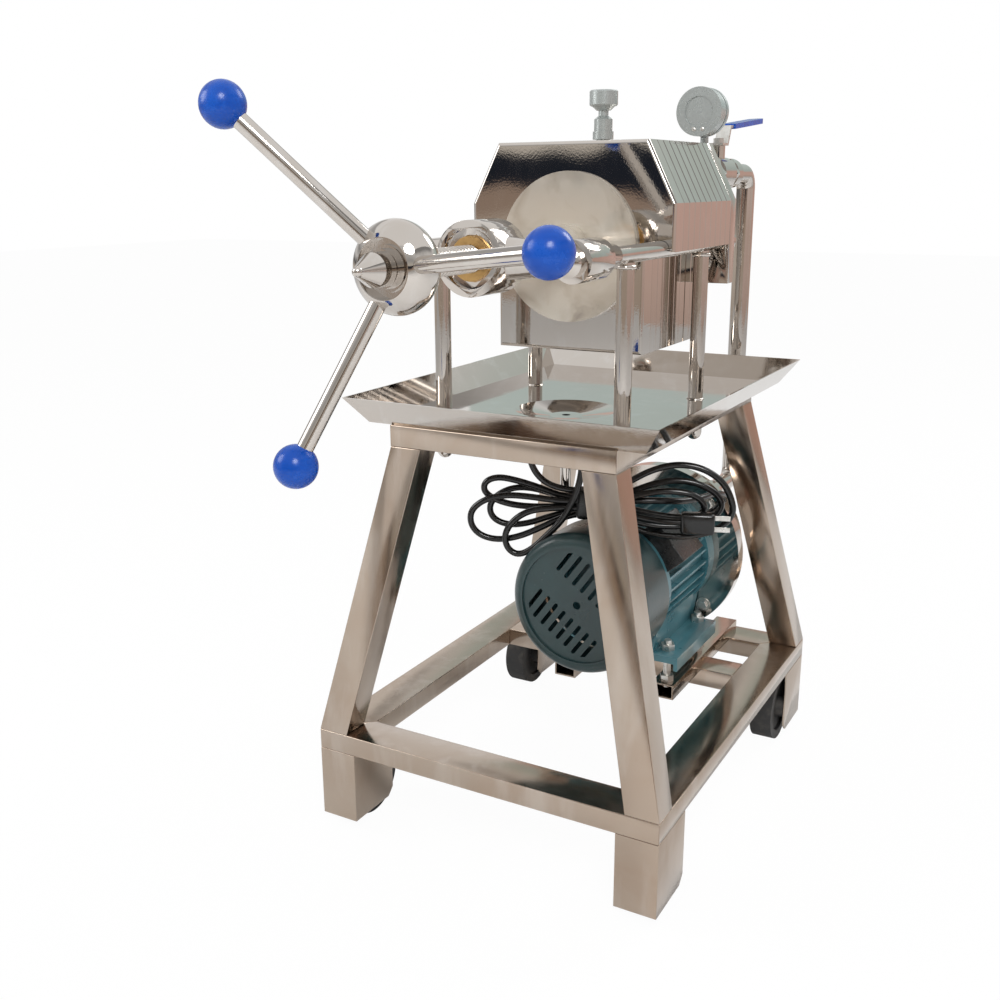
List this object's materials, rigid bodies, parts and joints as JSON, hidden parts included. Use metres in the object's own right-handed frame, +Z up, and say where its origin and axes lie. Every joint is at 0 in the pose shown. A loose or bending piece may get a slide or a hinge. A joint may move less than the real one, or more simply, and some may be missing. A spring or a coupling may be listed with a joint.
{
  "type": "plate filter press",
  "caption": "Wheeled plate filter press with a screw handwheel, hanging filter plates on two tie rods, a drip tray, a feed valve and gauge, and a motor pump below.",
  "frame": {"origin": "on the floor, at the middle of the machine's length and width", "axes": "+X to the right of someone standing at the handwheel, +Y from the handwheel to the feed pipe, +Z up"},
  "size_m": [0.445, 0.8551, 0.8867],
  "materials": {
    "polished_stainless": "mirror-polished stainless steel",
    "rail_steel": "plain stainless",
    "zinc_steel": "plated steel",
    "bronze": "turned bronze",
    "blue_plastic": "glossy",
    "dial_face": "plain white dial",
    "teal_paint": "satin paint",
    "black_plastic": "matte",
    "black_rubber": "satin",
    "wheel_rubber": "matte"
  },
  "bodies": {
    "stand": {"side_rails": "polished_stainless", "cross_rails": "polished_stainless", "legs": "polished_stainless", "wheel_housings": "polished_stainless", "top_side_rails": "polished_stainless", "top_cross_rails": "polished_stainless", "drip_tray": "polished_stainless", "drain_spout": "polished_stainless", "support_posts": "polished_stainless", "tie_rods": "polished_stainless", "rod_nuts": "polished_stainless", "yoke": "polished_stainless", "bronze_nut": "bronze", "end_plate": "polished_stainless", "feed_pipe": "polished_stainless", "pipe_union": "polished_stainless", "valve_body": "polished_stainless", "gauge": "polished_stainless", "gauge_dial": "dial_face", "pump_casing": "polished_stainless", "pump_ports": "polished_stainless", "motor_body": "teal_paint", "fan_cover": "teal_paint", "terminal_box": "black_plastic", "motor_feet": "teal_paint", "motor_rails": "rail_steel", "motor_studs": "zinc_steel", "cable_gland": "black_plastic", "power_cord": "black_rubber", "cord_hank": "black_rubber", "plug": "black_rubber"},
    "press_head": {"head_plate": "polished_stainless", "pressure_disc": "polished_stainless"},
    "plate_1": {"filter_plate_1": "polished_stainless"},
    "plate_2": {"filter_plate_2": "polished_stainless"},
    "plate_3": {"filter_plate_3": "polished_stainless"},
    "plate_4": {"filter_plate_4": "polished_stainless", "vent_body": "polished_stainless"},
    "plate_5": {"filter_plate_5": "polished_stainless"},
    "plate_6": {"filter_plate_6": "polished_stainless"},
    "plate_7": {"filter_plate_7": "polished_stainless"},
    "plate_8": {"filter_plate_8": "polished_stainless"},
    "plate_9": {"filter_plate_9": "polished_stainless"},
    "screw": {"screw": "polished_stainless", "handwheel": "polished_stainless", "ball_knobs": "blue_plastic", "acorn_nut": "polished_stainless"},
    "vent_knob": {"vent_knob": "polished_stainless"},
    "lever": {"valve_lever": "zinc_steel", "lever_grip": "blue_plastic"},
    "wheel_front_right": {"wheel_front_right": "wheel_rubber"},
    "wheel_front_left": {"wheel_front_left": "wheel_rubber"},
    "wheel_rear_right": {"wheel_rear_right": "wheel_rubber"},
    "wheel_rear_left": {"wheel_rear_left": "wheel_rubber"}
  },
  "joints": [
    {"name": "screw_turn", "type": "hinge", "parent": "press_head", "child": "screw", "pos_m": [0, -0.334, 0.702], "axis": [0, 1, 0], "range_deg": [0, 6000]},
    {"name": "head_slide", "type": "slide", "parent": "stand", "child": "press_head", "axis": [0, -1, 0], "range_m": [0, 0.1]},
    {"name": "plate_1_slide", "type": "slide", "parent": "stand", "child": "plate_1", "axis": [0, -1, 0], "range_m": [0, 0.09]},
    {"name": "plate_2_slide", "type": "slide", "parent": "stand", "child": "plate_2", "axis": [0, -1, 0], "range_m": [0, 0.08]},
    {"name": "plate_3_slide", "type": "slide", "parent": "stand", "child": "plate_3", "axis": [0, -1, 0], "range_m": [0, 0.07]},
    {"name": "plate_4_slide", "type": "slide", "parent": "stand", "child": "plate_4", "axis": [0, -1, 0], "range_m": [0, 0.06]},
    {"name": "plate_5_slide", "type": "slide", "parent": "stand", "child": "plate_5", "axis": [0, -1, 0], "range_m": [0, 0.05]},
    {"name": "plate_6_slide", "type": "slide", "parent": "stand", "child": "plate_6", "axis": [0, -1, 0], "range_m": [0, 0.04]},
    {"name": "plate_7_slide", "type": "slide", "parent": "stand", "child": "plate_7", "axis": [0, -1, 0], "range_m": [0, 0.03]},
    {"name": "plate_8_slide", "type": "slide", "parent": "stand", "child": "plate_8", "axis": [0, -1, 0], "range_m": [0, 0.02]},
    {"name": "plate_9_slide", "type": "slide", "parent": "stand", "child": "plate_9", "axis": [0, -1, 0], "range_m": [0, 0.01]},
    {"name": "vent_knob_turn", "type": "hinge", "parent": "plate_4", "child": "vent_knob", "pos_m": [0, 0.11285, 0.8717], "axis": [0, 0, 1], "range_deg": [0, 360]},
    {"name": "lever_turn", "type": "hinge", "parent": "stand", "child": "lever", "pos_m": [0.092, 0.2673, 0.82], "axis": [0, 0, -1], "range_deg": [0, 90]},
    {"name": "wheel_front_right_roll", "type": "hinge", "parent": "stand", "child": "wheel_front_right", "pos_m": [0.1975, -0.15, 0.047], "axis": [1, 0, 0], "continuous": true},
    {"name": "wheel_front_left_roll", "type": "hinge", "parent": "stand", "child": "wheel_front_left", "pos_m": [-0.1975, -0.15, 0.047], "axis": [1, 0, 0], "continuous": true},
    {"name": "wheel_rear_right_roll", "type": "hinge", "parent": "stand", "child": "wheel_rear_right", "pos_m": [0.1975, 0.297, 0.047], "axis": [1, 0, 0], "continuous": true},
    {"name": "wheel_rear_left_roll", "type": "hinge", "parent": "stand", "child": "wheel_rear_left", "pos_m": [-0.1975, 0.297, 0.047], "axis": [1, 0, 0], "continuous": true}
  ],
  "couplings": [
    {"joint": "head_slide", "follows": "screw_turn", "m_per_rad": 0.00095493},
    {"joint": "plate_1_slide", "follows": "screw_turn", "m_per_rad": 0.00085944},
    {"joint": "plate_2_slide", "follows": "screw_turn", "m_per_rad": 0.00076394},
    {"joint": "plate_3_slide", "follows": "screw_turn", "m_per_rad": 0.00066845},
    {"joint": "plate_4_slide", "follows": "screw_turn", "m_per_rad": 0.00057296},
    {"joint": "plate_5_slide", "follows": "screw_turn", "m_per_rad": 0.00047746},
    {"joint": "plate_6_slide", "follows": "screw_turn", "m_per_rad": 0.00038197},
    {"joint": "plate_7_slide", "follows": "screw_turn", "m_per_rad": 0.00028648},
    {"joint": "plate_8_slide", "follows": "screw_turn", "m_per_rad": 0.00019099},
    {"joint": "plate_9_slide", "follows": "screw_turn", "m_per_rad": 0.000095493}
  ]
}
